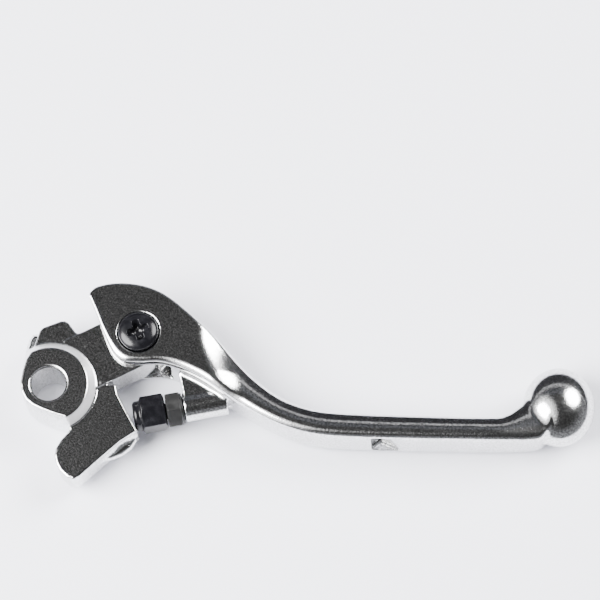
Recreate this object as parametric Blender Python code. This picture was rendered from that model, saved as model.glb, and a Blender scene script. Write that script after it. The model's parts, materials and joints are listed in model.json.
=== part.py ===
"""Hydraulic front brake lever of an off-road motorcycle, with its knuckle and reach adjuster.

The main bore's axis is the lever frame's Z axis, and Z = 0 is the forging's parting plane.
The grip lies on the -Y side. The finished assembly is then moved so that it stands on Z = 0.
"""

import math

import bmesh
import bpy
from mathutils import Matrix, Vector

MM = 0.001
COLLECTION = "brake_lever"
GAP = 0.3  # clearance between neighbouring pieces

# Knuckle
HUB_HALF = 8.6
ARM_HALF = 5.75
PADDLE_HALF = 5.0
PAD_HALF = 3.4
HUB_RADIUS = 11.6
HUB_CENTRE = (0.3, -0.3)
SKIRT_RADIUS = 13.8
BORE_RADIUS = 5.2
BORE_CHAMFER = 0.6
EDGE_CHAMFER = 0.4

# Pivot between knuckle and blade
PIVOT = (26.7, 16.1)
TONGUE_RADIUS = 9.0
SLOT_HALF = 6.1
SLOT_ROOT_X = 36.4
BUSH_RADIUS = 4.0
BUSH_BORE_RADIUS = 3.2
SHANK_RADIUS = 2.9
WASHER_RADIUS = 6.0
WASHER_THICKNESS = 0.5
WASHER_SEAT_DEPTH = 0.8
SPRING_POCKET_RADIUS = 7.8
SPRING_POCKET_DEPTH = 5.2
COIL_RADIUS = 5.6
WIRE_RADIUS = 0.45
COIL_TURNS = 3.25
COIL_PITCH = 1.0

# Blade: a tall head, a hollow slope down to the blade, a slight neck and a ball
HEAD_HALF = 9.25
BLADE_HALF = 7.5
SLOPE_START_X = 42.9
SLOPE_BACK_Y = 20.5
SLOPE_REACH = 16.5
SLOPE_SWEEP = 0.12
SLOPE_BEND = 0.012
SLOPE_LENGTH = 10.5
NECK_X = (131.0, 151.0)
NECK_DEPTH = 1.6
FRONT_EDGE = 2.3
BACK_EDGE = 2.7
HEAD_EDGE = 0.8
THINNEST_HALF = 0.6
CROWN_TILT = 35.0
CROWN_X = (41.0, 60.0)
HEAD_EDGE_X = (14.0, 19.0)
BALL_CENTRE = (153.0, -4.7)
BALL_RADII = (10.8, 12.1, 8.4)
COUNTERBORE_RADIUS = 6.4
COUNTERBORE_DEPTH = 1.5
NOTCH_HALF = 5.6
LOWER_TRIM = [(5.0, 6.0), (19.4, 6.0), (14.6, 31.0), (14.0, 36.0), (5.0, 36.0)]
NOTCH = [(96.9, -18.5), (96.9, -15.6), (99.4, -13.8), (108.0, -17.6), (108.4, -18.5)]

# Pivot screw
SCREW_HEAD_RADIUS = 6.1
SCREW_HEAD_HEIGHT = 3.4
RECESS_ARM = 3.3
RECESS_WIDTH = 1.8
RECESS_DEPTH = 2.0

# Reach adjuster: an M6 bolt in the blade's lug, pointing at the knuckle
ADJUSTER_FACE = (40.4, -4.95)
ADJUSTER_ANGLE = math.radians(11)
LUG_RADIUS = 4.4
LUG_LENGTH = 13.0
LUG_WEB_HALF = 4.15
LUG_WEB = [(38.7, 4.5), (39.4, 2.2), (41.2, -6.1), (54.4, -3.6), (58.0, -2.0), (50.0, 6.0)]
THREAD_DEPTH = 11.0
THREAD_RADIUS = 2.4
ACROSS_FLATS = 10.0
NUT_THICKNESS = 5.0
BOLT_HEX_LENGTH = 7.6
NOSE_LENGTH = 2.2
NOSE_RADIUS = 4.6
SHANK_LENGTH = 9.0


def fresh_scene():
    for old in list(bpy.data.objects):
        bpy.data.objects.remove(old, do_unlink=True)


def collection(name):
    made = bpy.data.collections.get(name) or bpy.data.collections.new(name)
    if made.name not in bpy.context.scene.collection.children:
        bpy.context.scene.collection.children.link(made)
    return made


def material(name, colour, roughness, metallic):
    made = bpy.data.materials.new(name)
    made.use_nodes = True
    shader = made.node_tree.nodes["Principled BSDF"]
    shader.inputs["Base Color"].default_value = (*colour, 1.0)
    shader.inputs["Roughness"].default_value = roughness
    shader.inputs["Metallic"].default_value = metallic
    return made


def arc(centre, radius, start, end, steps):
    """Points on a circle from one angle to another, in degrees."""
    points = []
    for step in range(steps + 1):
        angle = math.radians(start + (end - start) * step / steps)
        points.append((centre[0] + radius * math.cos(angle), centre[1] + radius * math.sin(angle)))
    return points


def smooth(points, steps, closed=False):
    """A Catmull-Rom curve through the points, of any dimension."""
    count = len(points)
    spans = count if closed else count - 1
    result = []
    for span in range(spans):
        if closed:
            a, b, c, d = (points[(span + offset) % count] for offset in (-1, 0, 1, 2))
        else:
            a = points[max(span - 1, 0)]
            b = points[span]
            c = points[span + 1]
            d = points[min(span + 2, count - 1)]
        for step in range(steps):
            t = step / steps
            point = []
            for p, q, r, s in zip(a, b, c, d):
                square = 2 * p - 5 * q + 4 * r - s
                cube = 3 * q - p - 3 * r + s
                point.append(0.5 * (2 * q + (r - p) * t + square * t**2 + cube * t**3))
            result.append(tuple(point))
    if not closed:
        result.append(tuple(points[-1]))
    return result


def axis_empty(name, parent, place, rotation):
    """An empty whose Z axis is an axis of the lever; place is in millimetres."""
    made = bpy.data.objects.new(name, None)
    bpy.data.collections[COLLECTION].objects.link(made)
    made.parent = parent
    made.location = Vector(place) * MM
    made.rotation_euler = rotation
    bpy.context.view_layer.update()
    return made


def hang(piece, parent):
    """Parents a piece that is drawn in the lever frame to an axis, without moving it."""
    piece.parent = parent
    piece.matrix_parent_inverse = parent.matrix_world.inverted()


def new_object(name, mesh_builder, group, parent):
    """Makes an object under parent whose mesh is filled by mesh_builder, which draws in millimetres."""
    bm = bmesh.new()
    mesh_builder(bm)
    bmesh.ops.scale(bm, vec=(MM, MM, MM), verts=bm.verts)
    bmesh.ops.recalc_face_normals(bm, faces=bm.faces)
    mesh = bpy.data.meshes.new(name)
    bm.to_mesh(mesh)
    bm.free()
    made = bpy.data.objects.new(name, mesh)
    group.objects.link(made)
    made.parent = parent
    return made


def add_rings(bm, rings):
    """A closed loft through rings that have the same number of points."""
    loops = [[bm.verts.new(point) for point in ring] for ring in rings]
    for first, second in zip(loops, loops[1:]):
        for index in range(len(first)):
            following = (index + 1) % len(first)
            bm.faces.new((first[index], first[following], second[following], second[index]))
    bm.faces.new(loops[0])
    bm.faces.new(reversed(loops[-1]))


def prism(name, outline, low, high, group, parent):
    """A flat outline pulled from one height to another."""

    def build(bm):
        add_rings(bm, [[(x, y, z) for x, y in outline] for z in (low, high)])

    return new_object(name, build, group, parent)


def turned(name, profile, sides, group, parent):
    """A turned solid about its parent's Z axis; the profile is (radius, height) from top to bottom."""

    def build(bm):
        rings = []
        for radius, height in profile:
            ring = []
            for x, y in arc((0, 0), radius, 0, 360 * (sides - 1) / sides, sides - 1):
                ring.append((x, y, height))
            rings.append(ring)
        add_rings(bm, rings)

    return new_object(name, build, group, parent)


def boolean(target, cutter, operation):
    """Joins or cuts target with cutter, at once."""
    step = target.modifiers.new(operation.lower(), "BOOLEAN")
    step.operation = operation
    step.solver = "EXACT"
    step.object = cutter
    bpy.context.view_layer.update()
    depsgraph = bpy.context.evaluated_depsgraph_get()
    result = bpy.data.meshes.new_from_object(target.evaluated_get(depsgraph))
    target.modifiers.remove(step)
    old = target.data
    target.data = result
    bpy.data.meshes.remove(old)
    cutter.hide_render = True
    cutter.display_type = "WIRE"


def adjuster_rotation():
    """Turns +Z to the adjuster's direction, towards the knuckle, and keeps +Y up."""
    direction = Vector((-math.cos(ADJUSTER_ANGLE), -math.sin(ADJUSTER_ANGLE), 0))
    upward = Vector((0, 0, 1))
    side = upward.cross(direction)
    return Matrix((side, upward, direction)).transposed().to_euler()


def hub_outline():
    """The hub's top face: a disc with its left side cut by two chords."""
    left = [(-6.9, 7.4), (-7.9, 3.8), (-8.4, 0.3), (-7.9, -2.6)]
    left += [(-6.6, -5.0), (-4.6, -6.7), (-1.9, -8.0), (1.5, -9.3)]
    return arc(HUB_CENTRE, HUB_RADIUS, -62, 120, 26) + left


def skirt_outline():
    """The hub's foot, which flares out over the arm and the paddle."""
    left = [(-7.9, 8.4), (-8.3, 4.0), (-8.6, 0.3), (-8.1, -2.7)]
    left += [(-6.8, -5.2), (-4.8, -6.9), (-2.0, -8.2), (1.5, -9.6)]
    return arc(HUB_CENTRE, SKIRT_RADIUS, -62, 120, 26) + left


def arm_outline():
    """The bar from the hub to the round tongue about the pivot."""
    heading = math.degrees(math.atan2(PIVOT[1] + 2.0, PIVOT[0] + 5.0))
    end = arc(PIVOT, TONGUE_RADIUS, heading - 90, heading + 90, 24)
    return end + [(4.0, 14.6), (1.0, 0.0), (5.0, -5.2)]


def stop_outline():
    """The lug that meets the perch when the lever is let go."""
    return [
        (-6.4, 8.0),
        (-4.3, 15.3),
        (-3.6, 17.6),
        (-2.7, 18.7),
        (2.6, 20.8),
        (4.0, 20.9),
        (5.1, 20.3),
        (7.3, 17.4),
        (8.0, 16.9),
        (8.9, 16.9),
        (13.0, 18.9),
        (16.0, 14.0),
        (6.0, 2.0),
    ]


def shoulder_outline():
    """A low shoulder on the stop's outer side."""
    outer = [(-5.0, 18.2), (-6.2, 17.9), (-7.2, 16.4), (-7.9, 13.8), (-8.2, 11.0)]
    return outer + [(-7.6, 6.0), (0.0, 6.0), (0.0, 17.5)]


def paddle_outline():
    """The foot that pushes the piston; its right side takes the adjuster's nose."""
    toe = [(26.9, -13.7), (26.0, -14.1), (21.8, -16.9), (15.9, -22.3), (10.1, -27.8)]
    nose = [(8.2, -28.9), (6.2, -28.2), (4.0, -26.1), (2.8, -23.9), (2.2, -21.4)]
    heel = [(2.5, -19.2), (3.8, -16.8), (6.4, -13.6), (5.5, -6.0)]
    return [(13.0, 1.0), (20.0, 0.9), (20.6, -2.0), (23.5, -7.6)] + toe + nose + heel


def pad_outline():
    """A bulge low on the paddle's grip side."""
    bulge = [(26.2, -13.4), (26.4, -15.4), (24.9, -17.9), (22.3, -20.0), (19.2, -21.3)]
    return bulge + [(15.8, -22.2), (16.0, -18.0)]


def turning(outline):
    """1 for an anticlockwise outline, -1 for a clockwise one."""
    area = 0
    for (ax, ay), (bx, by) in zip(outline, outline[1:] + outline[:1]):
        area += ax * by - bx * ay
    return math.copysign(1, area)


def chamfered(outline, half, chamfer):
    """Rings of an extruded outline whose top and bottom edges are chamfered."""
    count = len(outline)
    inset = chamfer * turning(outline)
    inner = []
    for index, (x, y) in enumerate(outline):
        before = Vector(outline[index - 1])
        after = Vector(outline[(index + 1) % count])
        along = (after - before).normalized()
        inner.append((x - along.y * inset, y + along.x * inset))
    levels = ((inner, half), (outline, half - chamfer), (outline, chamfer - half), (inner, -half))
    return [[(x, y, z) for x, y in ring] for ring, z in levels]


def cylinder(name, radius, low, high, sides, group, parent):
    return turned(name, [(radius, high), (radius, low)], sides, group, parent)


def make_knuckle(parts, cutters, axes):
    lever = axes["lever"]

    def hub(bm):
        levels = (
            (hub_outline(), HUB_HALF),
            (skirt_outline(), ARM_HALF),
            (skirt_outline(), -ARM_HALF),
            (hub_outline(), -HUB_HALF),
        )
        add_rings(bm, [[(x, y, z) for x, y in ring] for ring, z in levels])

    knuckle = new_object("knuckle", hub, parts, lever)
    pieces = (
        ("arm", arm_outline(), ARM_HALF),
        ("stop", stop_outline(), ARM_HALF - 0.01),
        ("shoulder", shoulder_outline(), 3.0),
        ("paddle", paddle_outline(), PADDLE_HALF),
        ("pad", pad_outline(), PAD_HALF),
    )
    for name, outline, half in pieces:
        if name in ("stop", "paddle"):
            rings = chamfered(outline, half, EDGE_CHAMFER)
            piece = new_object(name, lambda bm, rings=rings: add_rings(bm, rings), cutters, lever)
        else:
            piece = prism(name, outline, -half, half, cutters, lever)
        boolean(knuckle, piece, "UNION")

    top = HUB_HALF + 1
    wide = BORE_RADIUS + BORE_CHAMFER + 1
    rim = HUB_HALF - BORE_CHAMFER
    profile = [(wide, top), (BORE_RADIUS, rim), (BORE_RADIUS, -rim), (wide, -top)]
    boolean(knuckle, turned("main_bore", profile, 48, cutters, lever), "DIFFERENCE")

    seat = ARM_HALF - WASHER_SEAT_DEPTH
    pocket_roof = SPRING_POCKET_DEPTH - ARM_HALF
    hole = BUSH_RADIUS + GAP
    washer_seat = WASHER_RADIUS + 0.5
    profile = [
        (washer_seat, ARM_HALF + 1),
        (washer_seat, seat),
        (hole, seat),
        (hole, pocket_roof),
        (SPRING_POCKET_RADIUS, pocket_roof),
        (SPRING_POCKET_RADIUS, -ARM_HALF - 1),
    ]
    boolean(knuckle, turned("pivot_hole", profile, 40, cutters, axes["pivot"]), "DIFFERENCE")
    return knuckle


BACK = [
    (11.6, 28.9),
    (13.6, 30.7),
    (18.0, 31.8),
    (23.0, 31.9),
    (28.0, 31.1),
    (32.5, 29.4),
    (36.5, 26.9),
    (40.5, 23.6),
    (45.0, 19.5),
    (51.0, 14.1),
    (60.3, 4.3),
    (69.0, -2.6),
    (77.0, -6.0),
    (86.0, -7.5),
    (105.0, -8.4),
    (131.0, -9.0),
    (137.0, -8.2),
    (140.8, -5.4),
    (143.5, -2.8),
    (147.0, -1.5),
    (151.0, -1.5),
]
FRONT = [
    (11.6, 27.0),
    (12.3, 25.4),
    (14.0, 21.4),
    (15.9, 16.3),
    (17.7, 11.8),
    (19.6, 8.8),
    (22.6, 6.8),
    (27.5, 6.5),
    (35.0, 6.4),
    (44.0, 2.9),
    (54.5, -3.8),
    (64.5, -9.9),
    (74.0, -13.9),
    (84.5, -15.9),
    (104.7, -16.7),
    (131.0, -17.1),
    (137.0, -17.1),
    (140.8, -17.05),
    (143.2, -17.0),
    (147.5, -16.3),
    (151.0, -14.0),
]


def eased(low, high, value):
    """0 below low, 1 above high, and smooth between them."""
    t = min(max((value - low) / (high - low), 0), 1)
    return t * t * (3 - 2 * t)


def half_height(x, y):
    """Half the blade's height: flat head, a soft slope down to the blade, then a slight neck."""
    back = min(SLOPE_BACK_Y - y, SLOPE_REACH)
    slope_start = SLOPE_START_X + SLOPE_SWEEP * back + SLOPE_BEND * back * back
    fall = eased(slope_start, slope_start + SLOPE_LENGTH, x)
    return HEAD_HALF + (BLADE_HALF - HEAD_HALF) * fall - NECK_DEPTH * eased(*NECK_X, x)


def section(front, back, steps):
    """One vertical ring of the blade: a round grip edge, a crowned top and a tighter back edge."""
    front = Vector(front)
    across = Vector(back) - front
    width = across.length
    across.normalize()
    crowned = eased(*CROWN_X, (front.x + back[0]) / 2)
    front_round = HEAD_EDGE + (FRONT_EDGE - HEAD_EDGE) * eased(*HEAD_EDGE_X, front.x)
    front_round = min(front_round, width * 0.45)
    back_round = min(HEAD_EDGE + (BACK_EDGE - HEAD_EDGE) * crowned, width * 0.4)
    tilt = math.radians(0.1 + CROWN_TILT * crowned)
    crown = (width - back_round * (1 - math.sin(tilt)) - front_round) / math.sin(tilt)
    drop = crown * (1 - math.cos(tilt))

    outline = []
    for step in range(steps):
        angle = math.radians(180 - 90 * step / steps)
        outline.append((front_round + front_round * math.cos(angle), front_round * (1 - math.sin(angle))))
    for step in range(steps):
        angle = tilt * step / steps
        outline.append((front_round + crown * math.sin(angle), crown * (1 - math.cos(angle))))
    for step in range(steps + 1):
        angle = tilt + (math.pi / 2 - tilt) * step / steps
        out = width - back_round + back_round * math.sin(angle)
        outline.append((out, drop + back_round * (math.cos(tilt) - math.cos(angle))))

    ring = []
    for out, depth in outline:
        point = front + across * out
        ring.append((point.x, point.y, max(half_height(point.x, point.y) - depth, THINNEST_HALF)))
    return ring + [(x, y, -z) for x, y, z in reversed(ring)]


def blade_rings(between, steps):
    """The blade's rings: one at each station, with more between them."""
    fronts = smooth(FRONT, between)
    backs = smooth(BACK, between)
    return [section(front, back, steps) for front, back in zip(fronts, backs)]


def ball(bm):
    place = Matrix.Translation((*BALL_CENTRE, 0)) @ Matrix.Diagonal((*BALL_RADII, 1))
    bmesh.ops.create_uvsphere(bm, u_segments=40, v_segments=24, radius=1, matrix=place)


def make_blade(parts, cutters, axes):
    lever = axes["lever"]
    adjuster = axes["adjuster"]
    rings = blade_rings(3, 4)
    blade = new_object("lever_blade", lambda bm: add_rings(bm, rings), parts, None)
    hang(blade, axes["pivot"])

    boolean(blade, new_object("blade_ball", ball, cutters, lever), "UNION")
    boolean(blade, cylinder("lug_boss", LUG_RADIUS, -LUG_LENGTH, 0.0, 28, cutters, adjuster), "UNION")
    boolean(blade, prism("lug_web", LUG_WEB, -LUG_WEB_HALF, LUG_WEB_HALF, cutters, lever), "UNION")
    thread = cylinder("lug_thread", THREAD_RADIUS + GAP, -THREAD_DEPTH, 1.0, 24, cutters, adjuster)
    boolean(blade, thread, "DIFFERENCE")

    slot = [(0.0, 0.0), (SLOT_ROOT_X, 0.0), (SLOT_ROOT_X, 40.0), (0.0, 40.0)]
    boolean(blade, prism("clevis_slot", slot, -SLOT_HALF, SLOT_HALF, cutters, lever), "DIFFERENCE")
    trim = prism("lower_ear_trim", LOWER_TRIM, -HEAD_HALF - 1, 0.0, cutters, lever)
    boolean(blade, trim, "DIFFERENCE")
    hole = SHANK_RADIUS + GAP
    floor = HEAD_HALF - COUNTERBORE_DEPTH
    profile = [
        (COUNTERBORE_RADIUS, HEAD_HALF + 1),
        (COUNTERBORE_RADIUS, floor),
        (hole, floor),
        (hole, -HEAD_HALF - 1),
    ]
    boolean(blade, turned("screw_hole", profile, 40, cutters, axes["pivot"]), "DIFFERENCE")

    boolean(blade, prism("breakaway_notch", NOTCH, -NOTCH_HALF, NOTCH_HALF, cutters, lever), "DIFFERENCE")
    return blade


def make_pivot_screw(parts, cutters, axes):
    seat = HEAD_HALF - COUNTERBORE_DEPTH + GAP
    dome = []
    for step in range(7):
        angle = math.radians(90 - 15 * step)
        dome.append((3.6 + 2.5 * math.cos(angle), seat + 1.2 + 2.2 * math.sin(angle)))
    profile = dome + [
        (SCREW_HEAD_RADIUS, seat),
        (SHANK_RADIUS, seat),
        (SHANK_RADIUS, 0.5 - HEAD_HALF),
        (SHANK_RADIUS - 0.5, -HEAD_HALF),
    ]
    screw = turned("pivot_screw", profile, 32, parts, axes["pivot"])
    top = seat + SCREW_HEAD_HEIGHT + 1
    for turn in (20, 110):
        corners = ((-RECESS_ARM, -RECESS_WIDTH / 2), (RECESS_ARM, -RECESS_WIDTH / 2))
        corners += ((RECESS_ARM, RECESS_WIDTH / 2), (-RECESS_ARM, RECESS_WIDTH / 2))
        outline = []
        for x, y in corners:
            point = Matrix.Rotation(math.radians(turn), 2) @ Vector((x, y))
            outline.append((point.x, point.y))
        slot = prism(f"recess_{turn}", outline, top - 1 - RECESS_DEPTH, top, cutters, axes["pivot"])
        boolean(screw, slot, "DIFFERENCE")
    return screw


def make_bush(parts, cutters, axes):
    half = SLOT_HALF - GAP
    bush = cylinder("pivot_bush", BUSH_RADIUS, -half, half, 32, parts, axes["pivot"])
    bore = cylinder("bush_bore", BUSH_BORE_RADIUS, -half - 1, half + 1, 32, cutters, axes["pivot"])
    boolean(bush, bore, "DIFFERENCE")
    return bush


def make_washer(name, middle, parts, cutters, axes):
    half = WASHER_THICKNESS / 2
    washer = cylinder(name, WASHER_RADIUS, middle - half, middle + half, 32, parts, axes["pivot"])
    hole = BUSH_RADIUS + GAP
    bore = cylinder(f"{name}_bore", hole, middle - 2, middle + 2, 32, cutters, axes["pivot"])
    boolean(washer, bore, "DIFFERENCE")
    return washer


def make_spring(parts, axes):
    """The coil of the torsion spring round the bush."""
    curve = bpy.data.curves.new("return_spring", "CURVE")
    curve.dimensions = "3D"
    curve.bevel_depth = WIRE_RADIUS * MM
    curve.bevel_resolution = 2
    curve.use_fill_caps = True
    per_turn = 20
    count = int(COIL_TURNS * per_turn)
    low = 1.2 - ARM_HALF
    points = []
    for step in range(count + 1):
        angle = 2 * math.pi * step / per_turn
        height = low + COIL_PITCH * step / per_turn
        points.append((COIL_RADIUS * math.cos(angle), COIL_RADIUS * math.sin(angle), height))
    spline = curve.splines.new("POLY")
    spline.points.add(len(points) - 1)
    for place, point in zip(spline.points, points):
        place.co = (*(Vector(point) * MM), 1)
    spring = bpy.data.objects.new("return_spring", curve)
    parts.objects.link(spring)
    spring.parent = axes["pivot"]
    return spring


def hexagon(turn):
    corner = ACROSS_FLATS / math.sqrt(3)
    return arc((0, 0), corner, turn, turn + 300, 5)


def make_locknut(parts, cutters, axes):
    adjuster = axes["adjuster"]
    low = GAP
    high = GAP + NUT_THICKNESS
    nut = prism("adjuster_locknut", hexagon(13), low, high, parts, adjuster)
    flat = ACROSS_FLATS / 2
    rim = ACROSS_FLATS / math.sqrt(3) + 0.1
    fall = (rim - flat) * math.tan(math.radians(30))
    collar = low + 0.5
    profile = [(flat - 0.2, high + 0.01), (rim, high - fall), (rim, collar + fall)]
    profile += [(flat - 0.3, collar), (flat - 0.4, low - 0.01)]
    boolean(nut, turned("nut_round", profile, 48, cutters, adjuster), "INTERSECT")
    bore = cylinder("nut_thread", THREAD_RADIUS + GAP, low - 1, high + 1, 24, cutters, adjuster)
    boolean(nut, bore, "DIFFERENCE")
    return nut


def make_adjuster_bolt(parts, cutters, axes):
    adjuster = axes["adjuster"]
    low = 2 * GAP + NUT_THICKNESS
    high = low + BOLT_HEX_LENGTH
    bolt = prism("adjuster_bolt", hexagon(33), low, high, parts, adjuster)
    flat = ACROSS_FLATS / 2
    rim = ACROSS_FLATS / math.sqrt(3) + 0.1
    fall = (rim - flat) * math.tan(math.radians(30))
    profile = [(flat - 0.3, high + 0.01), (rim, high - fall), (rim, low + fall), (flat - 0.3, low - 0.01)]
    boolean(bolt, turned("bolt_round", profile, 48, cutters, adjuster), "INTERSECT")
    tip = high + NOSE_LENGTH
    nose_edge = 1.1
    profile = [(NOSE_RADIUS - nose_edge, tip)]
    for step in range(1, 4):
        angle = math.radians(90 - 30 * step)
        reach = NOSE_RADIUS - nose_edge + nose_edge * math.cos(angle)
        profile.append((reach, tip - nose_edge + nose_edge * math.sin(angle)))
    profile += [(NOSE_RADIUS, high - 1)]
    boolean(bolt, turned("bolt_nose", profile, 32, cutters, adjuster), "UNION")
    lead = 0.8
    shank = [(THREAD_RADIUS, low + 1), (THREAD_RADIUS, lead - SHANK_LENGTH)]
    shank += [(THREAD_RADIUS - lead, -SHANK_LENGTH)]
    boolean(bolt, turned("bolt_shank", shank, 24, cutters, adjuster), "UNION")
    return bolt


def stand_on_ground(lever, pieces):
    """Moves the lever frame so that the middle of the assembly's base is at the world's origin."""
    bpy.context.view_layer.update()
    depsgraph = bpy.context.evaluated_depsgraph_get()
    corners = []
    for piece in pieces:
        shown = piece.evaluated_get(depsgraph)
        mesh = shown.to_mesh()
        corners += [shown.matrix_world @ vertex.co for vertex in mesh.vertices]
        shown.to_mesh_clear()
    low = [min(corner[axis] for corner in corners) for axis in range(3)]
    high = [max(corner[axis] for corner in corners) for axis in range(3)]
    lever.location = (-(low[0] + high[0]) / 2, -(low[1] + high[1]) / 2, -low[2])


def main():
    fresh_scene()
    parts = collection(COLLECTION)
    cutters = collection("cutters")
    aluminium = material("blasted_aluminium", (0.75, 0.76, 0.78), 0.25, 1.0)
    black = material("black_steel", (0.01, 0.01, 0.013), 0.2, 1.0)
    grey = material("dark_grey_steel", (0.06, 0.06, 0.06), 0.5, 1.0)
    bronze = material("bronze", (0.7, 0.5, 0.25), 0.35, 1.0)
    steel = material("spring_steel", (0.45, 0.45, 0.46), 0.3, 1.0)

    lever = axis_empty("lever_axis", None, (0, 0, 0), (0, 0, 0))
    axes = {
        "lever": lever,
        "pivot": axis_empty("pivot_axis", lever, (*PIVOT, 0), (0, 0, 0)),
        "adjuster": axis_empty("adjuster_axis", lever, (*ADJUSTER_FACE, 0), adjuster_rotation()),
    }
    washer_height = ARM_HALF - WASHER_SEAT_DEPTH + GAP + WASHER_THICKNESS / 2
    made = [
        (make_knuckle(parts, cutters, axes), aluminium),
        (make_blade(parts, cutters, axes), aluminium),
        (make_pivot_screw(parts, cutters, axes), black),
        (make_bush(parts, cutters, axes), bronze),
        (make_washer("upper_washer", washer_height, parts, cutters, axes), steel),
        (make_washer("lower_washer", -washer_height, parts, cutters, axes), steel),
        (make_spring(parts, axes), steel),
        (make_adjuster_bolt(parts, cutters, axes), black),
        (make_locknut(parts, cutters, axes), grey),
    ]
    for piece, finish in made:
        piece.data.materials.clear()
        piece.data.materials.append(finish)
    stand_on_ground(lever, [piece for piece, _ in made])


main()
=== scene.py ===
"""Looks for the motorcycle brake lever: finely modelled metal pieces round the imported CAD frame.

Each piece but the spring starts as a fine remesh of its CAD solid, whose points are then moved onto a
distance field in the lever's own frame: millimetres, Z along the pivots, the main bore at the origin.
"""

import json
import math

import bpy
import numpy as np
from mathutils import Matrix, Vector
from mathutils.bvhtree import BVHTree


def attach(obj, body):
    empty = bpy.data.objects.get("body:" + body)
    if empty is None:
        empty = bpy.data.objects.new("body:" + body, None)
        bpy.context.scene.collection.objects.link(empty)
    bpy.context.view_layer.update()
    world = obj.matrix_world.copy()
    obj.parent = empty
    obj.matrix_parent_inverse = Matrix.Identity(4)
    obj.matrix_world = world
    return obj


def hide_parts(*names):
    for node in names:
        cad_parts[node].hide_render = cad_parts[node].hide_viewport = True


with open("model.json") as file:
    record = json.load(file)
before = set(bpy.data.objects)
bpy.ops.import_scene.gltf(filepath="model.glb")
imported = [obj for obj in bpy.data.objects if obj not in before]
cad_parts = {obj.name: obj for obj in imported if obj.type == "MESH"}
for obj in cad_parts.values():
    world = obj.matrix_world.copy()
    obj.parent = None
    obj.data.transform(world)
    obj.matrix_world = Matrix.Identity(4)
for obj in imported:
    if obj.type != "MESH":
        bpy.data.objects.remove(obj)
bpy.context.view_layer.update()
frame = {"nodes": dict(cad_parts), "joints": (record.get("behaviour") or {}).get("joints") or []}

MM = 0.001
MICRON = 0.000001

# Sizes of the lever in millimetres and degrees, most of them the CAD model's own
HUB_HALF = 8.6
ARM_HALF = 5.75
STOP_HALF = ARM_HALF - 0.01
PADDLE_HALF = 5.0
SHOULDER_HALF = 3.4
SHOULDER_EDGE = 3.0
PAD_HALF = 1.8
HUB_RADIUS = 11.6
HUB_CENTRE = (0.3, -0.3)
SKIRT_RADIUS = 13.8
BORE_RADIUS = 5.2
BORE_CHAMFER = 0.6
PIVOT = (26.7, 16.1)
ARM_ROOT = (-5.0, -2.0)
TONGUE_RADIUS = 9.0
SLOT_HALF = 6.1
SLOT_ROOT_X = 36.4
BUSH_RADIUS = 4.0
BUSH_BORE_RADIUS = 3.2
SHANK_RADIUS = 2.9
WASHER_RADIUS = 6.0
WASHER_THICKNESS = 0.5
WASHER_SEAT_RADIUS = 6.5
WASHER_SEAT_DEPTH = 0.8
SPRING_POCKET_RADIUS = 7.8
SPRING_POCKET_DEPTH = 5.2
COIL_RADIUS = 5.6
WIRE_RADIUS = 0.45
COIL_TURNS = 3.25
COIL_PITCH = 1.0
COIL_START = 1.2
GAP = 0.3
HEAD_HALF = 9.25
BLADE_HALF = 7.5
SLOPE_START_X = 42.9
SLOPE_BACK_Y = 20.5
SLOPE_REACH = 16.5
SLOPE_SWEEP = 0.12
SLOPE_BEND = 0.012
SLOPE_LENGTH = 10.5
NECK_X = (131.0, 150.0)
NECK_DEPTH = 0.8
FRONT_EDGE = 2.3
BACK_EDGE = 2.7
HEAD_EDGE = 0.8
THINNEST_HALF = 0.6
HEAD_TILT = 0.1
CROWN_TILT = 35.0
CROWN_X = (41.0, 60.0)
HEAD_EDGE_X = (14.0, 19.0)
BALL_CENTRE = (153.0, -4.7)
BALL_RADII = (10.8, 12.1, 8.4)
BALL_FILLET = 1.2
COUNTERBORE_RADIUS = 6.4
COUNTERBORE_DEPTH = 1.5
NOTCH_HALF = 5.6
SCREW_HEAD_RADIUS = 6.1
SCREW_HEAD_HEIGHT = 3.4
SCREW_RIM_HEIGHT = 1.2
SCREW_SWELL = 2.8
SCREW_DOME_SCALE = 2.5
RECESS_ARM = 3.4
RECESS_HALF = 1.15
RECESS_DEPTH = 2.8
RECESS_TURN = 20.0
ADJUSTER_FACE = (40.4, -4.95)
ADJUSTER_ANGLE = math.radians(11)
LUG_RADIUS = 4.4
LUG_LENGTH = 13.0
LUG_WEB_HALF = 4.15
LUG_FILLET = 1.2
THREAD_RADIUS = 2.4
ACROSS_FLATS = 10.0
NUT_TURN = 13.0
NUT_THICKNESS = 5.0
NUT_FACE_STEP = 0.5
NUT_FACE_INSET = 0.4
NUT_COUNTERSINK = 0.35
BOLT_TURN = 33.0
BOLT_HEX_LENGTH = 7.6
NOSE_LENGTH = 2.2
NOSE_RADIUS = 4.6
SHANK_LENGTH = 9.0

# How finely the curves and surfaces are worked out
CURVE_STEPS = 14
RING_STEPS = 20
SMOOTHING_ROUNDS = 2
COIL_STEPS_PER_TURN = 64

joints = {joint["name"]: joint for joint in frame["joints"]}
pivot_place = Vector(joints["blade_reach"]["pos_m"])
ORIGIN = pivot_place - Vector((*PIVOT, 0)) * MM


# Curves in the plan


def arc(centre, radius, start, end, steps):
    """Points on a circle from one angle to another, in degrees."""
    points = []
    for step in range(steps + 1):
        angle = math.radians(start + (end - start) * step / steps)
        points.append((centre[0] + radius * math.cos(angle), centre[1] + radius * math.sin(angle)))
    return points


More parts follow.
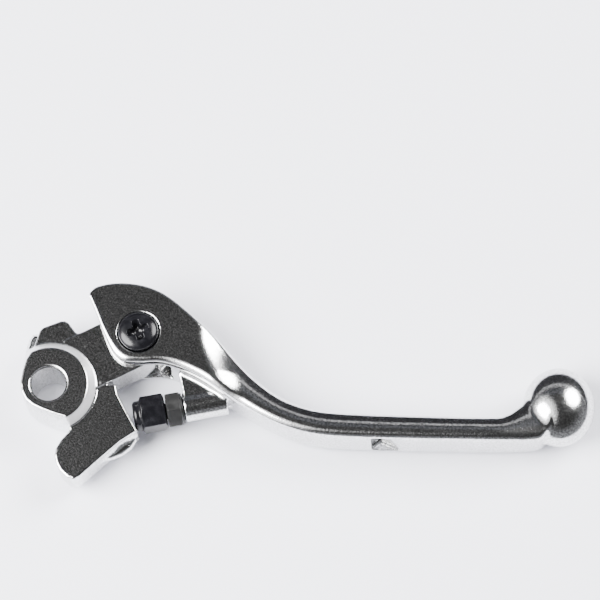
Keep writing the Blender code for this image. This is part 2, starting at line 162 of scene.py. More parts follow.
def smooth(points, steps):
    """A Catmull-Rom curve through the points."""
    points = np.array(points, float)
    last = len(points) - 1
    result = []
    for span in range(last):
        before = points[max(span - 1, 0)]
        start = points[span]
        end = points[span + 1]
        after = points[min(span + 2, last)]
        linear = end - before
        square = 2 * before - 5 * start + 4 * end - after
        cube = 3 * start - before - 3 * end + after
        for step in range(steps):
            t = step / steps
            result.append(0.5 * (2 * start + linear * t + square * t**2 + cube * t**3))
    result.append(points[last])
    return [tuple(point) for point in result]


# Distance fields, negative inside


def outline_distance(x, y, outline):
    """Distance in the plan to a closed outline."""
    nearest = np.full(len(x), np.inf)
    inside = np.zeros(len(x), bool)
    for (ax, ay), (bx, by) in zip(outline, outline[1:] + outline[:1]):
        ex, ey = bx - ax, by - ay
        along = np.clip(((x - ax) * ex + (y - ay) * ey) / (ex * ex + ey * ey), 0, 1)
        nearest = np.minimum(nearest, (x - ax - along * ex) ** 2 + (y - ay - along * ey) ** 2)
        if ey:
            inside ^= ((ay > y) != (by > y)) & (x < ax + ex * (y - ay) / ey)
    return np.sqrt(nearest) * np.where(inside, -1, 1)


def common(a, b, radius):
    """What two shapes share, with the new edge rounded."""
    corner = np.hypot(np.maximum(a + radius, 0), np.maximum(b + radius, 0))
    return np.minimum(-radius, np.maximum(a, b)) + corner


def joined(a, b, radius):
    """Two shapes together, with a fillet where they meet."""
    corner = np.hypot(np.maximum(radius - a, 0), np.maximum(radius - b, 0))
    return np.maximum(radius, np.minimum(a, b)) - corner


def slab(z, half):
    """Distance to the space between two levels, as far above the parting plane as below it."""
    return np.abs(z) - half


def extruded(x, y, z, outline, half, edge):
    """Distance to an outline given a height, with the edges of its faces rounded."""
    return common(outline_distance(x, y, outline), slab(z, half), edge)


def fine_copy(name, node, voxel):
    """A new object with a voxel remesh of a CAD solid."""
    mesh = frame["nodes"][node].data.copy()
    piece = bpy.data.objects.new(name, mesh)
    bpy.context.scene.collection.objects.link(piece)
    remesh = piece.modifiers.new("remesh", "REMESH")
    remesh.mode = "VOXEL"
    remesh.voxel_size = voxel * MM
    remesh.adaptivity = 0
    bpy.context.view_layer.update()
    depsgraph = bpy.context.evaluated_depsgraph_get()
    fine = bpy.data.meshes.new_from_object(piece.evaluated_get(depsgraph))
    piece.modifiers.clear()
    piece.data = fine
    bpy.data.meshes.remove(mesh)
    fine.name = name
    return piece


def refined(name, node, voxel, field):
    """A fine copy of a CAD solid whose points lie on the field's surface."""
    piece = fine_copy(name, node, voxel)
    fine = piece.data
    flat = np.empty(len(fine.vertices) * 3)
    fine.vertices.foreach_get("co", flat)
    points = (flat.reshape(-1, 3) - np.array(ORIGIN)) / MM
    ends = np.empty(len(fine.edges) * 2, int)
    fine.edges.foreach_get("vertices", ends)
    edges = ends.reshape(-1, 2)
    both_ways = np.concatenate([edges, edges[:, ::-1]])

    points = settle(points, field)
    for _ in range(SMOOTHING_ROUNDS):
        points = settle(evened(points, both_ways), field)
    points = settle(points, field)
    fine.vertices.foreach_set("co", (points * MM + np.array(ORIGIN)).ravel())
    fine.shade_smooth()
    fine.update()
    return piece


def evened(points, neighbours):
    """Points moved half way towards the middle of their neighbours."""
    count = len(points)
    here, there = neighbours.T
    shares = np.bincount(here, minlength=count)[:, None]
    totals = [np.bincount(here, part, count) for part in points[there].T]
    return points + 0.5 * (np.stack(totals, axis=1) / shares - points)


def settle(points, field):
    """Moves points towards the field's zero level by one Newton step of limited length."""
    reach = 0.02
    longest = 0.6
    least_steepness = 0.05
    prepared = field.prepare(points) if hasattr(field, "prepare") else None
    values = field(points, prepared)
    slope = np.empty_like(points)
    for axis in range(3):
        step = np.zeros(3)
        step[axis] = reach
        slope[:, axis] = (field(points + step, prepared) - values) / reach
    steepness = np.maximum((slope**2).sum(axis=1), least_steepness)
    move = slope * (values / steepness)[:, None]
    length = np.linalg.norm(move, axis=1)
    return points - move * np.minimum(1, longest / np.maximum(length, 1e-9))[:, None]


# The knuckle

HUB_ARC = (-62, 120, 26)  # its ends in degrees, and its steps
HUB = arc(HUB_CENTRE, HUB_RADIUS, *HUB_ARC) + [
    (-6.9, 7.4), (-7.9, 3.8), (-8.4, 0.3), (-7.9, -2.6), (-6.6, -5.0), (-4.6, -6.7), (-1.9, -8.0),
    (1.5, -9.3),
]
SKIRT = arc(HUB_CENTRE, SKIRT_RADIUS, *HUB_ARC) + [
    (-7.9, 8.4), (-8.3, 4.0), (-8.6, 0.3), (-8.1, -2.7), (-6.8, -5.2), (-4.8, -6.9), (-2.0, -8.2),
    (1.5, -9.6),
]
ARM_HEADING = math.degrees(math.atan2(PIVOT[1] - ARM_ROOT[1], PIVOT[0] - ARM_ROOT[0]))
ARM = arc(PIVOT, TONGUE_RADIUS, ARM_HEADING - 90, ARM_HEADING + 90, 24)
ARM += [(4.0, 14.6), (1.0, 0.0), (5.0, -5.2)]
STOP = [
    (-6.4, 8.0), (-4.3, 15.3), (-3.6, 17.6), (-2.7, 18.7), (2.6, 20.8), (4.0, 20.9), (5.1, 20.3),
    (7.3, 17.4), (8.0, 16.9), (8.9, 16.9), (13.0, 18.9), (16.0, 14.0), (6.0, 2.0),
]
SHOULDER = [
    (-5.0, 18.2), (-6.2, 17.9), (-7.2, 16.4), (-7.9, 13.8), (-8.2, 11.0), (-7.6, 6.0), (0.0, 6.0),
    (0.0, 17.5),
]
PADDLE = [
    (6.4, -13.6), (5.5, -6.0), (13.0, 1.0), (20.0, 0.9), (20.6, -2.0), (23.5, -7.6), (26.9, -13.7),
    (26.0, -14.1), (21.8, -16.9), (15.9, -22.3), (10.1, -27.8), (8.2, -28.9), (6.2, -28.2),
    (4.0, -26.1), (2.8, -23.9), (2.2, -21.4), (2.5, -19.2), (3.8, -16.8),
]
PAD = [
    (26.2, -13.4), (26.4, -15.4), (24.9, -17.9), (22.3, -20.0), (19.2, -21.3), (15.8, -22.2),
    (16.0, -18.0),
]


def knuckle_field(points, _):
    """The forging: a flared hub, the arm with the stop and its shoulder, the paddle and its pad."""
    x, y, z = points.T
    fall = np.clip((HUB_HALF - np.abs(z)) / (HUB_HALF - ARM_HALF), 0, 1)
    wall = (1 - fall) * outline_distance(x, y, HUB) + fall * outline_distance(x, y, SKIRT)
    slant = 0.8  # the wall flares, so the distance in the plan is more than the true one
    body = common(slant * wall, slab(z, HUB_HALF), 0.25)
    arm = extruded(x, y, z, ARM, ARM_HALF, 0.45)
    arm = joined(arm, extruded(x, y, z, STOP, STOP_HALF, 0.5), 0.3)
    body = joined(body, arm, 0.5)
    body = joined(body, extruded(x, y, z, SHOULDER, SHOULDER_HALF, SHOULDER_EDGE), 0.8)
    body = joined(body, extruded(x, y, z, PADDLE, PADDLE_HALF, 0.6), 0.6)
    body = joined(body, extruded(x, y, z, PAD, PAD_HALF, PAD_HALF - 0.1), 0.8)

    middle = np.hypot(x, y)
    body = common(body, BORE_RADIUS - middle, 0.1)
    rim = BORE_RADIUS + BORE_CHAMFER - HUB_HALF
    body = common(body, (rim + np.abs(z) - middle) / math.sqrt(2), 0.12)

    turn = np.hypot(x - PIVOT[0], y - PIVOT[1])
    body = common(body, BUSH_RADIUS + GAP - turn, 0.15)
    seat = np.maximum(turn - WASHER_SEAT_RADIUS, ARM_HALF - WASHER_SEAT_DEPTH - z)
    body = common(body, -seat, 0.15)
    pocket = np.maximum(turn - SPRING_POCKET_RADIUS, z - (SPRING_POCKET_DEPTH - ARM_HALF))
    return common(body, -pocket, 0.15)


# The blade

BACK = [
    (11.6, 28.9), (13.6, 30.7), (18.0, 31.8), (23.0, 31.9), (28.0, 31.1), (32.5, 29.4), (36.5, 26.9),
    (40.5, 23.6), (45.0, 19.5), (51.0, 14.1), (60.3, 4.3), (69.0, -2.6), (77.0, -6.0), (86.0, -7.5),
    (105.0, -8.4), (131.0, -9.0), (137.0, -8.2), (140.8, -5.4), (143.5, -2.8), (147.0, -1.5), (150.0, -1.5),
]
FRONT = [
    (11.6, 27.0), (12.3, 25.4), (14.0, 21.4), (15.9, 16.3), (17.7, 11.8), (19.6, 8.8), (22.6, 6.8),
    (27.5, 6.5), (35.0, 6.4), (44.0, 2.9), (54.5, -3.8), (64.5, -9.9), (74.0, -13.9), (84.5, -15.9),
    (104.7, -16.7), (131.0, -17.1), (137.0, -17.1), (140.8, -17.05), (143.2, -17.0), (147.5, -16.3),
    (150.0, -13.5),
]
LUG_WEB = [(38.7, 4.5), (39.4, 2.2), (41.2, -6.1), (54.4, -3.6), (58.0, -2.0), (50.0, 6.0)]
LOWER_TRIM = [(5.0, 6.0), (19.4, 6.0), (14.6, 31.0), (14.0, 36.0), (5.0, 36.0)]
NOTCH = [(96.9, -18.5), (96.9, -15.6), (99.4, -13.8), (108.0, -17.6), (108.4, -18.5)]


def eased(low, high, value):
    """0 below low and 1 above high, with a smooth step between them."""
    t = min(max((value - low) / (high - low), 0), 1)
    return t * t * (3 - 2 * t)


def half_height(x, y):
    """Half the blade's height: flat head, a soft slope down to the blade, then a slight neck."""
    back = min(SLOPE_BACK_Y - y, SLOPE_REACH)
    slope_start = SLOPE_START_X + SLOPE_SWEEP * back + SLOPE_BEND * back * back
    fall = eased(slope_start, slope_start + SLOPE_LENGTH, x)
    return HEAD_HALF + (BLADE_HALF - HEAD_HALF) * fall - NECK_DEPTH * eased(*NECK_X, x)


def section(front, back, steps):
    """One vertical ring of the blade: a round front edge, a crowned top and a round back edge."""
    front = np.array(front)
    across = np.array(back) - front
    width = float(np.linalg.norm(across))
    across /= width
    crowned = eased(*CROWN_X, (front[0] + back[0]) / 2)
    front_round = HEAD_EDGE + (FRONT_EDGE - HEAD_EDGE) * eased(*HEAD_EDGE_X, front[0])
    front_round = min(front_round, width * 0.45)
    back_round = HEAD_EDGE + (BACK_EDGE - HEAD_EDGE) * crowned
    back_round = min(back_round, width * 0.4)
    tilt = math.radians(HEAD_TILT + CROWN_TILT * crowned)
    crown = (width - back_round * (1 - math.sin(tilt)) - front_round) / math.sin(tilt)
    drop = crown * (1 - math.cos(tilt))

    outline = []
    for step in range(steps):
        angle = math.radians(180 - 90 * step / steps)
        out = front_round + front_round * math.cos(angle)
        outline.append((out, front_round * (1 - math.sin(angle))))
    for step in range(steps):
        angle = tilt * step / steps
        out = front_round + crown * math.sin(angle)
        outline.append((out, crown * (1 - math.cos(angle))))
    for step in range(steps + 1):
        angle = tilt + (math.pi / 2 - tilt) * step / steps
        out = width - back_round + back_round * math.sin(angle)
        outline.append((out, drop + back_round * (math.cos(tilt) - math.cos(angle))))

    ring = []
    for out, depth in outline:
        x, y = front + across * out
        ring.append((x, y, max(half_height(x, y) - depth, THINNEST_HALF)))
    return ring + [(x, y, -z) for x, y, z in reversed(ring)]


def blade_loft():
    """A search tree over the blade's smooth loft, which is open at both ends."""
    edges = zip(smooth(FRONT, CURVE_STEPS), smooth(BACK, CURVE_STEPS))
    rings = [section(front, back, RING_STEPS) for front, back in edges]
    size = len(rings[0])
    points = [point for ring in rings for point in ring]
    faces = []
    for start in range(0, (len(rings) - 1) * size, size):
        for index in range(size):
            this = start + index
            following = start + (index + 1) % size
            faces.append((this, this + size, following + size, following))
    return BVHTree.FromPolygons(points, faces)


def ball_field(points):
    """A near distance to the ellipsoid at the blade's end."""
    x, y, z = points.T
    radii = np.array(BALL_RADII)
    place = np.stack([x - BALL_CENTRE[0], y - BALL_CENTRE[1], z], axis=1)
    reach = np.linalg.norm(place / radii, axis=1)
    steepness = np.linalg.norm(place / radii**2, axis=1)
    return reach * (reach - 1) / np.maximum(steepness, 0.01)


class BladeField:
    """The loft joined to the ball and the lug, with the slot, the screw's seat and the notch cut out."""

    def __init__(self):
        self.tree = blade_loft()

    def prepare(self, points):
        """Signed distance to the loft and its direction, once for each set of points."""
        touching = 0.02
        distance = np.empty(len(points))
        slope = np.empty_like(points)
        for index, point in enumerate(points):
            place, normal, _, gap = self.tree.find_nearest(point)
            offset = Vector(point) - place
            beyond = point[0] < BACK[0][0] or point[0] > BACK[-1][0]
            side = 1 if beyond or offset.dot(normal) > 0 else -1
            distance[index] = side * gap
            slope[index] = offset * (side / gap) if gap > touching else normal
        return points, distance, slope

    def __call__(self, points, prepared):
        start, distance, slope = prepared
        loft = distance + ((points - start) * slope).sum(axis=1)
        x, y, z = points.T

        along, side, rise = to_adjuster(points)
        reach = np.hypot(side, rise)
        boss = common(reach - LUG_RADIUS, np.maximum(along, -LUG_LENGTH - along), 0.35)
        lug = joined(boss, extruded(x, y, z, LUG_WEB, LUG_WEB_HALF, 0.3), 0.4)
        lug = common(lug, THREAD_RADIUS + GAP - reach, 0.2)
        body = joined(loft, ball_field(points), BALL_FILLET)
        body = joined(body, lug, LUG_FILLET)

        slot = common(x - SLOT_ROOT_X, slab(z, SLOT_HALF), 0.6)
        body = common(body, -slot, 0.25)
        trim = common(outline_distance(x, y, LOWER_TRIM), z, 0.2)
        body = common(body, -trim, 0.8)
        turn = np.hypot(x - PIVOT[0], y - PIVOT[1])
        body = common(body, SHANK_RADIUS + GAP - turn, 0.15)
        seat = np.maximum(turn - COUNTERBORE_RADIUS, HEAD_HALF - COUNTERBORE_DEPTH - z)
        body = common(body, -seat, 0.1)
        return common(body, -extruded(x, y, z, NOTCH, NOTCH_HALF, 0.2), 0.12)


def to_adjuster(points):
    """Points along the adjuster's axis towards the knuckle, across it, and up."""
    cosine, sine = math.cos(ADJUSTER_ANGLE), math.sin(ADJUSTER_ANGLE)
    x = points[:, 0] - ADJUSTER_FACE[0]
    y = points[:, 1] - ADJUSTER_FACE[1]
    return -x * cosine - y * sine, x * sine - y * cosine, points[:, 2]


# The pivot screw

SEAT = HEAD_HALF - COUNTERBORE_DEPTH + GAP
HEAD_TOP = SEAT + SCREW_HEAD_HEIGHT


def recess(x, y, z, turn):
    """One pair of arms of the cross recess, narrower with depth."""
    angle = math.radians(turn)
    along = np.abs(x * math.cos(angle) + y * math.sin(angle))
    across = np.abs(y * math.cos(angle) - x * math.sin(angle))
    depth = HEAD_TOP - z
    arm = common(along - RECESS_ARM + 0.5 * depth, across - RECESS_HALF + 0.12 * depth, 0.7)
    return common(arm, depth - RECESS_DEPTH, 0.3)


def screw_field(points, _):
    """A pan head with a domed rim and a cross recess, and a plain shank."""
    x = points[:, 0] - PIVOT[0]
    y = points[:, 1] - PIVOT[1]
    z = points[:, 2]
    turn = np.hypot(x, y)
    above_rim = np.maximum(z - SEAT - SCREW_RIM_HEIGHT, 0) / (SCREW_HEAD_HEIGHT - SCREW_RIM_HEIGHT)
    dome = ((turn / SCREW_HEAD_RADIUS) ** SCREW_SWELL + above_rim**SCREW_SWELL) ** (1 / SCREW_SWELL)
    head = common((dome - 1) * SCREW_DOME_SCALE, SEAT - z, 0.25)
    shank = common(turn - SHANK_RADIUS, np.maximum(z - SEAT - 1, -HEAD_HALF - z), 0.5)
    body = joined(head, shank, 0.25)
    cross = joined(recess(x, y, z, RECESS_TURN), recess(x, y, z, RECESS_TURN + 90), 0.5)
    return common(body, -cross, 0.12)


# The reach adjuster

NUT_LOW = GAP
NUT_HIGH = GAP + NUT_THICKNESS
HEX_LOW = 2 * GAP + NUT_THICKNESS
HEX_HIGH = HEX_LOW + BOLT_HEX_LENGTH
HEX_FLAT = ACROSS_FLATS / 2
CHAMFER = math.radians(30)


def hexagon_field(side, rise, turn, edge):
    """Distance to a hexagonal bar whose first corner is at turn degrees."""
    bar = np.full(len(side), -np.inf)
    for face in range(6):
        angle = math.radians(turn + 30 + 60 * face)
        flat = side * math.cos(angle) + rise * math.sin(angle) - HEX_FLAT
        bar = flat if face == 0 else common(bar, flat, edge)
    return bar


def chamfered_end(beyond, reach, start):
    """A cone that breaks a hexagon's corners; beyond is the distance past the end's plane."""
    return (beyond + (reach - start) * math.tan(CHAMFER)) * math.cos(CHAMFER)


def nut_field(points, _):
    """The locknut, with a round bearing face towards the lug and a countersunk bore."""
    along, side, rise = to_adjuster(points)
    reach = np.hypot(side, rise)
    bar = hexagon_field(side, rise, NUT_TURN, 0.2)
    bar = common(bar, chamfered_end(along - NUT_HIGH, reach, HEX_FLAT - 0.2), 0.12)
    bar = common(bar, along - NUT_HIGH, 0.1)
    bar = common(bar, chamfered_end(NUT_LOW + NUT_FACE_STEP - along, reach, HEX_FLAT - 0.3), 0.12)
    face = np.maximum(NUT_LOW - along, along - NUT_LOW - 2)
    face = common(reach - HEX_FLAT + NUT_FACE_INSET, face, 0.1)
    body = joined(bar, face, 0.1)
    body = common(body, THREAD_RADIUS + GAP - reach, 0.1)
    inward = np.minimum(NUT_HIGH - along, along - NUT_LOW)
    countersink = THREAD_RADIUS + GAP + NUT_COUNTERSINK - reach - inward
    return common(body, countersink / math.sqrt(2), 0.08)


def bolt_field(points, _):
    """The adjuster's bolt: a hexagon, a round nose that bears on the paddle, and a plain shank."""
    along, side, rise = to_adjuster(points)
    reach = np.hypot(side, rise)
    bar = hexagon_field(side, rise, BOLT_TURN, 0.22)
    bar = common(bar, chamfered_end(along - HEX_HIGH, reach, HEX_FLAT - 0.3), 0.15)
    bar = common(bar, chamfered_end(HEX_LOW - along, reach, HEX_FLAT - 0.3), 0.15)
    bar = common(bar, HEX_LOW - along, 0.1)
    nose = np.maximum(along - HEX_HIGH - NOSE_LENGTH, HEX_HIGH - 2 - along)
    nose = common(reach - NOSE_RADIUS, nose, 1.1)
    shank = np.maximum(along - HEX_LOW - 1, -SHANK_LENGTH - along)
    shank = common(reach - THREAD_RADIUS, shank, 0.5)
    return joined(joined(bar, nose, 0.25), shank, 0.2)


# The pivot's inner pieces


def ring_field(low, high, outer, inner):
    """The field of a ring on the pivot's axis, between two levels and two radii."""

    def field(points, _):
        turn = np.hypot(points[:, 0] - PIVOT[0], points[:, 1] - PIVOT[1])
        z = points[:, 2]
        wall = common(turn - outer, inner - turn, 0.08)
        return common(wall, np.maximum(z - high, low - z), 0.08)

    return field


def spring_coil():
    """The torsion spring's coil, finer than its CAD solid."""
    curve = bpy.data.curves.new("return_spring_coil", "CURVE")
    curve.dimensions = "3D"
    curve.bevel_depth = WIRE_RADIUS * MM
    curve.bevel_resolution = 5
    curve.use_fill_caps = True
    spline = curve.splines.new("POLY")
    spline.points.add(int(COIL_TURNS * COIL_STEPS_PER_TURN))
    for step, place in enumerate(spline.points):
        turns = step / COIL_STEPS_PER_TURN
        x = PIVOT[0] + COIL_RADIUS * math.cos(2 * math.pi * turns)
        y = PIVOT[1] + COIL_RADIUS * math.sin(2 * math.pi * turns)
        height = COIL_START - ARM_HALF + COIL_PITCH * turns
        place.co = (*(Vector((x, y, height)) * MM + ORIGIN), 1)
    coil = bpy.data.objects.new("return_spring_coil", curve)
    bpy.context.scene.collection.objects.link(coil)
    return coil


# Materials


class Tree:
    """A short way to build a node tree: each step adds a node and returns its output."""

    def __init__(self, tree, place):
        self.tree = tree
        self.place = tree.nodes.new("ShaderNodeTexCoord").outputs[place]

    def link(self, output, target):
        self.tree.links.new(output, target)

    def feed(self, value, target):
        """Gives a socket a number, a colour or another node's output."""
        if isinstance(value, (int, float)):
            target.default_value = value
        elif isinstance(value, tuple):
            target.default_value = (*value, 1.0)
        else:
            self.link(value, target)

    def math(self, operation, first, second=0.0):
        node = self.tree.nodes.new("ShaderNodeMath")
        node.operation = operation
        self.feed(first, node.inputs[0])
        self.feed(second, node.inputs[1])
        return node.outputs["Value"]

    def spread(self, value, low, high, out_low=0.0, out_high=1.0, curve="LINEAR"):
        """A value's range stretched to another one, and held at its ends."""
        node = self.tree.nodes.new("ShaderNodeMapRange")
        node.interpolation_type = curve
        node.inputs["From Min"].default_value = low
        node.inputs["From Max"].default_value = high
        node.inputs["To Min"].default_value = out_low
        node.inputs["To Max"].default_value = out_high
        self.link(value, node.inputs["Value"])
        return node.outputs["Result"]

    def mix(self, factor, first, second):
        node = self.tree.nodes.new("ShaderNodeMix")
        node.data_type = "RGBA"
        self.link(factor, node.inputs["Factor"])
        self.feed(first, node.inputs["A"])
        self.feed(second, node.inputs["B"])
        return node.outputs["Result"]


class Surface(Tree):
    """A material's node tree, with textures in object coordinates."""

    def __init__(self, name, colour, roughness, metallic):
        self.material = bpy.data.materials.new(name)
        self.material.use_nodes = True
        super().__init__(self.material.node_tree, "Object")
        self.sockets = self.tree.nodes["Principled BSDF"].inputs
        self.feed(colour, self.sockets["Base Color"])
        self.feed(roughness, self.sockets["Roughness"])
        self.feed(metallic, self.sockets["Metallic"])

    def noise(self, scale, detail, place=None):
        node = self.tree.nodes.new("ShaderNodeTexNoise")
        node.inputs["Scale"].default_value = scale
        node.inputs["Detail"].default_value = detail
        self.link(self.place if place is None else place, node.inputs["Vector"])
        return node.outputs["Fac"]

    def voronoi(self, scale, place=None):
        node = self.tree.nodes.new("ShaderNodeTexVoronoi")
        node.inputs["Scale"].default_value = scale
        self.link(self.place if place is None else place, node.inputs["Vector"])
        return node.outputs["Distance"]

    def mapped(self, shift=(0, 0, 0), turn=0, scale=(1, 1, 1)):
        """Object coordinates scaled along each axis, turned by degrees about Z and shifted."""
        node = self.tree.nodes.new("ShaderNodeMapping")
        node.inputs["Location"].default_value = shift
        node.inputs["Rotation"].default_value = (0, 0, math.radians(turn))
        node.inputs["Scale"].default_value = scale
        self.link(self.place, node.inputs["Vector"])
        return node.outputs["Vector"]

    def bump(self, height, strength, distance, under=None):
        node = self.tree.nodes.new("ShaderNodeBump")
        node.inputs["Strength"].default_value = strength
        node.inputs["Distance"].default_value = distance
        self.link(height, node.inputs["Height"])
        if under is not None:
            self.link(under, node.inputs["Normal"])
        return node.outputs["Normal"]

    def ring_zone(self, centre, inner, outer, low, high):
        """1 in a ring about a vertical axis, between two distances from the parting plane, in mm."""
        soft = 0.12
        shift = -(ORIGIN + Vector((*centre, 0)) * MM)
        parts = self.tree.nodes.new("ShaderNodeSeparateXYZ")
        self.link(self.mapped(shift), parts.inputs["Vector"])
        x, y, z = parts.outputs
        reach = self.math("SQRT", self.math("ADD", self.math("MULTIPLY", x, x), self.math("MULTIPLY", y, y)))
        height = self.math("ABSOLUTE", z)
        zone = self.rising(reach, inner, soft)
        zone = self.math("MULTIPLY", zone, self.math("SUBTRACT", 1.0, self.rising(reach, outer, soft)))
        zone = self.math("MULTIPLY", zone, self.rising(height, low, soft))
        return self.math("MULTIPLY", zone, self.math("SUBTRACT", 1.0, self.rising(height, high, soft)))

    def rising(self, value, edge, soft):
        """0 below an edge and 1 above it, both softened, in mm."""
        return self.spread(value, (edge - soft) * MM, (edge + soft) * MM)


def blasted_aluminium(name, zone, zone_colour_and_shade, zone_roughness):
    """Bead-blasted aluminium, burnished by handling: fine grain, faint scratches and small dings.

    The ring zone has a flat colour and a roughness of its own; on the blade that colour is near black,
    painted shade in the pivot screw's seat.
    """
    roughness = 0.12
    dark, light, worn = ((shade, shade, shade) for shade in (0.8, 0.9, 0.97))
    made = Surface(name, light, roughness, 1.0)
    fine = made.noise(2300, 2.0)
    coarse = made.noise(800, 3.0)
    cloud = made.spread(made.noise(90, 3.0), 0.35, 0.65)
    speckle = made.spread(made.noise(1900, 2.0), 0.35, 0.62)
    dings = made.spread(made.voronoi(210), 0.02, 0.16, 1.0, 0.0)
    lengthwise = made.mapped(turn=35, scale=(1.0, 0.08, 1.0))
    scratches = made.spread(made.voronoi(160, lengthwise), 0.0, 0.035, 1.0, 0.0)
    rarely = made.spread(made.noise(140, 1.0), 0.56, 0.66)
    wear = made.math("MULTIPLY", made.math("MAXIMUM", dings, scratches), rarely)
    inside = made.ring_zone(*zone)

    tone = made.mix(cloud, dark, light)
    tone = made.mix(speckle, (0.5, 0.5, 0.5), tone)
    tone = made.mix(wear, tone, worn)
    # The zone's flat colour replaces the tone: a real finish on the knuckle's cone, painted shade in the
    # blade's screw seat
    made.link(made.mix(inside, tone, zone_colour_and_shade), made.sockets["Base Color"])
    rough = made.spread(fine, 0.3, 0.7, roughness - 0.03, roughness + 0.05)
    rough = made.math("ADD", rough, made.math("MULTIPLY", wear, 0.15))
    rough = made.math("ADD", rough, made.math("MULTIPLY", inside, zone_roughness - roughness))
    made.link(rough, made.sockets["Roughness"])
    normal = made.bump(coarse, 0.12, 30 * MICRON)
    normal = made.bump(fine, 0.35, 60 * MICRON, normal)
    made.link(made.bump(wear, 0.4, 40 * MICRON, normal), made.sockets["Normal"])
    return made.material


def dark_steel(name, colour, roughness, grain):
    """Coated steel with a faint grain and slightly lighter, rougher clouds."""
    made = Surface(name, colour, roughness, 0.0)
    made.sockets["IOR"].default_value = 1.36
    fine = made.noise(4200, 2.0)
    cloud = made.noise(420, 3.0)
    lighter = tuple(part * 1.8 + 0.002 for part in colour)
    made.link(made.mix(made.spread(cloud, 0.45, 0.75), colour, lighter), made.sockets["Base Color"])
    rough = made.spread(cloud, 0.3, 0.7, roughness - 0.05, roughness + 0.08)
    made.link(rough, made.sockets["Roughness"])
    normal = made.bump(cloud, 0.15, 40 * MICRON)
    made.link(made.bump(fine, grain, 20 * MICRON, normal), made.sockets["Normal"])
    return made.material


def turned_metal(name, colour, roughness):
    """Machined metal with fine turning marks."""
    made = Surface(name, colour, roughness, 1.0)
    marks = made.noise(700, 2.0, made.mapped(scale=(1.0, 1.0, 12.0)))
    rough = made.spread(marks, 0.3, 0.7, roughness - 0.08, roughness + 0.1)
    made.link(rough, made.sockets["Roughness"])
    darker = tuple(part * 0.8 for part in colour)
    made.link(made.mix(made.noise(300, 3.0), darker, colour), made.sockets["Base Color"])
    made.link(made.bump(marks, 0.2, 30 * MICRON), made.sockets["Normal"])
    return made.material


# The object


def finish_piece(piece, node, body, material):
    """Gives a piece its material, hides the CAD node it replaces and hangs the piece on the empty of the
    body it rides on.
    """
    piece.data.materials.clear()
    piece.data.materials.append(material)
    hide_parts(node)
    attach(piece, body)


def make_object():
    """All the pieces, in place of their CAD nodes."""
    cone = (HUB_CENTRE, HUB_RADIUS - 0.3, SKIRT_RADIUS + 0.5, ARM_HALF + 0.15, HUB_HALF - 0.15)
    knuckle_metal = blasted_aluminium("knuckle_aluminium", cone, (0.86, 0.86, 0.87), 0.5)
    seat_low = HEAD_HALF - COUNTERBORE_DEPTH
    # The counterbore round the pivot screw is painted near black as painted shade in the recess
    seat = (PIVOT, 0, COUNTERBORE_RADIUS + 0.1, seat_low - 1, HEAD_HALF - 0.1)
    blade_metal = blasted_aluminium("blade_aluminium", seat, (0.06, 0.06, 0.07), 0.4)
    black = dark_steel("black_oxide", (0.004, 0.004, 0.005), 0.16, 0.2)
    grey = dark_steel("dark_grey_steel", (0.009, 0.009, 0.009), 0.4, 0.4)
    bronze = turned_metal("bearing_bronze", (0.72, 0.5, 0.25), 0.3)
    steel = turned_metal("spring_steel", (0.5, 0.5, 0.51), 0.28)

    half = SLOT_HALF - GAP
    bush = ring_field(-half, half, BUSH_RADIUS, BUSH_BORE_RADIUS)
    low = ARM_HALF - WASHER_SEAT_DEPTH + GAP
    high = low + WASHER_THICKNESS
    upper = ring_field(low, high, WASHER_RADIUS, BUSH_RADIUS + GAP)
    lower = ring_field(-high, -low, WASHER_RADIUS, BUSH_RADIUS + GAP)

    # Name, CAD node, voxel in mm, field, body, slot and material
    pieces = (
        ("knuckle_forging", "knuckle", 0.3, knuckle_field, "knuckle", "aluminium", knuckle_metal),
        ("blade_forging", "lever_blade", 0.36, BladeField(), "blade", "aluminium", blade_metal),
        ("pivot_screw_black", "pivot_screw", 0.14, screw_field, "blade", "black_steel", black),
        ("adjuster_bolt_black", "adjuster_bolt", 0.16, bolt_field, "adjuster_bolt", "black_steel", black),
        ("adjuster_locknut_grey", "adjuster_locknut", 0.13, nut_field, "locknut", "dark_steel", grey),
        ("pivot_bush_bronze", "pivot_bush", 0.2, bush, "pivot_collar", "bronze", bronze),
        ("upper_washer_ring", "upper_washer", 0.12, upper, "pivot_collar", "spring_steel", steel),
        ("lower_washer_ring", "lower_washer", 0.12, lower, "pivot_collar", "spring_steel", steel),
    )
    for name, node, voxel, field, body, slot, material in pieces:
        piece = refined(name, node, voxel, field)
        finish_piece(piece, node, body, material)
    finish_piece(spring_coil(), "return_spring", "pivot_collar", steel)


# Floor, light and camera

SOFTBOX_LEFT = (-0.653, -0.168, 0.738)
SOFTBOX_RIGHT = (0.598, 0.367, 0.712)
LOW_PANEL = (-0.79, -0.41, 0.45)
FLOOR_SIZE = 8.0
CAMERA_PLACE = (125.17, -341.40, 1059.88)  # in millimetres from the main bore
CAMERA_BACK = (0.04482, -0.32995, 0.94293)
LENS = 222.0


def floor():
    """A matt pale floor under the lever."""
    bpy.ops.mesh.primitive_plane_add(size=FLOOR_SIZE, location=(0, 0, 0))
    plane = bpy.context.object
    plane.name = "pale_floor"
    made = Surface("pale_floor", (0.87, 0.875, 0.94), 0.6, 0.0)
    made.sockets["Specular IOR Level"].default_value = 0.2
    plane.data.materials.append(made.material)


def softbox(name, direction, spread, radiance):
    """A round area light that fills a cone of half-angle spread, in degrees, as the object sees it."""
    distance = 1.0
    direction = Vector(direction).normalized()
    data = bpy.data.lights.new(name, "AREA")
    data.shape = "DISK"
    radius = distance * math.tan(math.radians(spread))
    data.size = 2 * radius
    data.energy = radiance * math.pi * math.pi * radius * radius
    light = bpy.data.objects.new(name, data)
    light.location = direction * distance
    light.rotation_euler = direction.to_track_quat("Z", "Y").to_euler()
    bpy.context.scene.collection.objects.link(light)


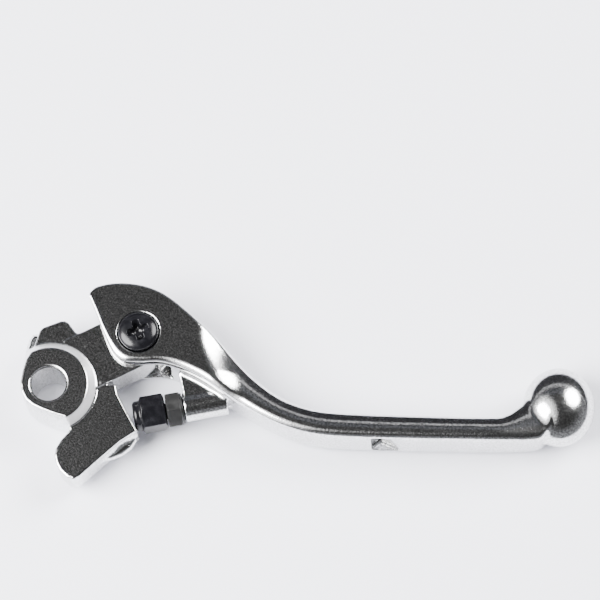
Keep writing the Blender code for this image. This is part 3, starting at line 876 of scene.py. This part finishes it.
def surroundings():
    """A dim studio for reflections and fill: dark above, with pale bands behind and panels at the left."""
    world = bpy.data.worlds.new("studio")
    bpy.context.scene.world = world
    world.use_nodes = True
    made = Tree(world.node_tree, "Generated")
    split = made.tree.nodes.new("ShaderNodeSeparateXYZ")
    made.link(made.place, split.inputs["Vector"])
    _, y, z = split.outputs
    sweep = made.math("ARCTAN2", z, y)

    def ease(value, low, high):
        return made.spread(value, low, high, curve="SMOOTHSTEP")

    def towards(direction, inner, outer):
        """1 within inner degrees of a direction, falling to 0 at outer degrees."""
        node = made.tree.nodes.new("ShaderNodeVectorMath")
        node.operation = "DOT_PRODUCT"
        made.link(made.place, node.inputs[0])
        node.inputs[1].default_value = Vector(direction).normalized()
        return ease(node.outputs["Value"], math.cos(math.radians(outer)), math.cos(math.radians(inner)))

    def band(low, high, soft):
        """1 between two angles up from the back horizon, in degrees, with soft edges outside them."""
        rising = ease(sweep, math.radians(low - soft), math.radians(low))
        falling = ease(sweep, math.radians(high), math.radians(high + soft))
        return made.math("MULTIPLY", rising, made.math("SUBTRACT", 1.0, falling))

    # Each band's low and high edge, its softness and its colour
    bands = (
        (-180, 45, 20, (0.06, 0.061, 0.066)),
        (54, 58, 6, (0.12, 0.125, 0.14)),
        (38, 41, 3, (0.8, 0.8, 0.82)),
        (-180, 32, 3, (0.045, 0.045, 0.05)),
    )
    colour = made.mix(ease(z, 0.25, 0.75), (0.3, 0.305, 0.32), (0.05, 0.05, 0.05))
    for low, high, soft, shade in bands:
        colour = made.mix(band(low, high, soft), colour, shade)
    colour = made.mix(towards(SOFTBOX_LEFT, 18, 40), colour, (2.6, 2.6, 2.62))
    panel = made.math("MULTIPLY", towards(LOW_PANEL, 15, 36), ease(z, 0.1, 0.17))
    colour = made.mix(panel, colour, (4.0, 4.0, 4.1))
    background = made.tree.nodes["Background"]
    made.link(colour, background.inputs["Color"])
    background.inputs["Strength"].default_value = 1.0


def camera():
    """A long lens a little over a metre away, above and in front of the lever."""
    data = bpy.data.cameras.new("camera")
    data.sensor_width = 36.0
    data.lens = LENS
    data.clip_end = 20.0
    eye = bpy.data.objects.new("camera", data)
    back = Vector(CAMERA_BACK).normalized()
    up = Vector((0, back.z, -back.y)).normalized()
    right = up.cross(back)
    turn = Matrix((right, up, back)).transposed().to_4x4()
    eye.matrix_world = Matrix.Translation(ORIGIN + Vector(CAMERA_PLACE) * MM) @ turn
    bpy.context.scene.collection.objects.link(eye)
    bpy.context.scene.camera = eye


make_object()
floor()
softbox("softbox_left", SOFTBOX_LEFT, 21, 30.0)
softbox("softbox_right", SOFTBOX_RIGHT, 17, 26.0)
surroundings()
camera()
